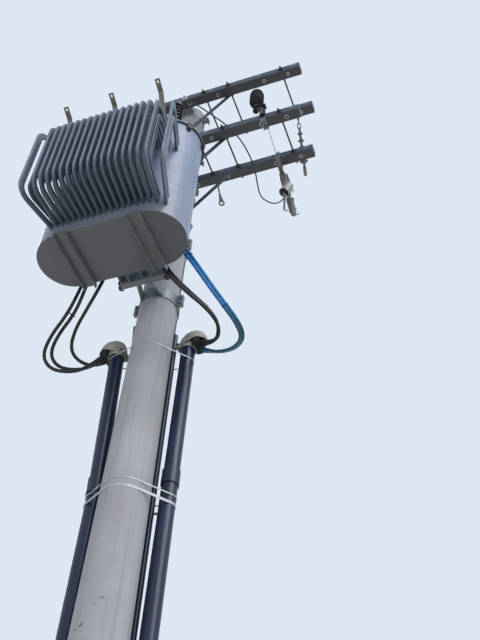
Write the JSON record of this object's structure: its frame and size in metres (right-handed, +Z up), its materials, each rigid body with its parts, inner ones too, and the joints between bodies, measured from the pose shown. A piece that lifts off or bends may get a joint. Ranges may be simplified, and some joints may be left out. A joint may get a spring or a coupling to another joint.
{
  "type": "pole mounted transformer",
  "caption": "Three-phase transformer hung on a round tapered concrete pole with crossarms, insulators and cable risers.",
  "frame": {"origin": "centre of the pole where it leaves the ground", "axes": "+Z up the pole, +X along the crossarms, -Y towards the transformer tank"},
  "size_m": [2.44, 2.3548, 10.08],
  "materials": {
    "cable_black": "black insulation",
    "cable_blue": "blue insulation",
    "cast_aluminium": "cast, dull",
    "concrete": "spun concrete, light grey, weathered",
    "conduit": "near black PVC",
    "cutout_porcelain": "grey glazed porcelain, dirty",
    "galvanised": "hot dip galvanised, dull",
    "galvanised_rusty": "galvanised, rust stained underneath",
    "gasket": "black rubber",
    "lead": "dark insulation",
    "polymer": "black silicone",
    "polymer_grey": "grey silicone",
    "porcelain": "dark glazed porcelain",
    "strap_steel": "stainless strap",
    "tank_paint": "light blue-grey paint, dusty",
    "zinc_bracket": "dull zinc"
  },
  "bodies": {
    "root": {"arrester_bars": "zinc_bracket", "arrester_brackets": "galvanised", "arresters": "polymer", "base_rails": "tank_paint", "black_cable_left_inner": "cable_black", "black_cable_left_middle": "cable_black", "black_cable_left_outer": "cable_black", "black_cable_right_inner": "cable_black", "black_cable_right_outer": "cable_black", "blue_cable_inner": "cable_blue", "blue_cable_outer": "cable_blue", "bushing_lead_centre": "lead", "bushing_lead_left": "lead", "bushing_lead_right": "lead", "conduit_couplings": "conduit", "conduit_left": "conduit", "conduit_right": "conduit", "conduit_strap_lower": "strap_steel", "conduit_strap_middle": "strap_steel", "conduit_strap_upper": "strap_steel", "crossarm_end_caps": "galvanised_rusty", "crossarm_lower_back": "galvanised_rusty", "crossarm_lower_front": "galvanised_rusty", "crossarm_upper_back": "galvanised_rusty", "crossarm_upper_front": "galvanised_rusty", "cutout_hangers": "galvanised", "cutout_insulators": "cutout_porcelain", "deadend_eye_rod": "galvanised", "deadend_strings": "polymer_grey", "fuse_hoods": "zinc_bracket", "ground_wire_tube": "conduit", "hanger_bracket_lower": "galvanised", "hanger_bracket_upper": "galvanised", "hanger_channels": "galvanised", "hanger_lugs": "tank_paint", "hv_bushings": "porcelain", "inner_cooling_tubes": "tank_paint", "lid_gasket": "gasket", "lower_arm_saddles": "galvanised", "lower_arm_tie_rods": "galvanised", "lower_brace_band": "galvanised", "lower_braces": "galvanised", "lv_bushings": "cutout_porcelain", "outer_cooling_tubes": "tank_paint", "pole": "concrete", "tank_lid": "tank_paint", "tank_shell": "tank_paint", "upper_arm_saddles": "galvanised", "upper_arm_tie_rods": "galvanised", "upper_brace_band": "galvanised", "upper_braces": "galvanised", "weatherhead_left": "cast_aluminium", "weatherhead_right": "cast_aluminium"}
  },
  "joints": []
}
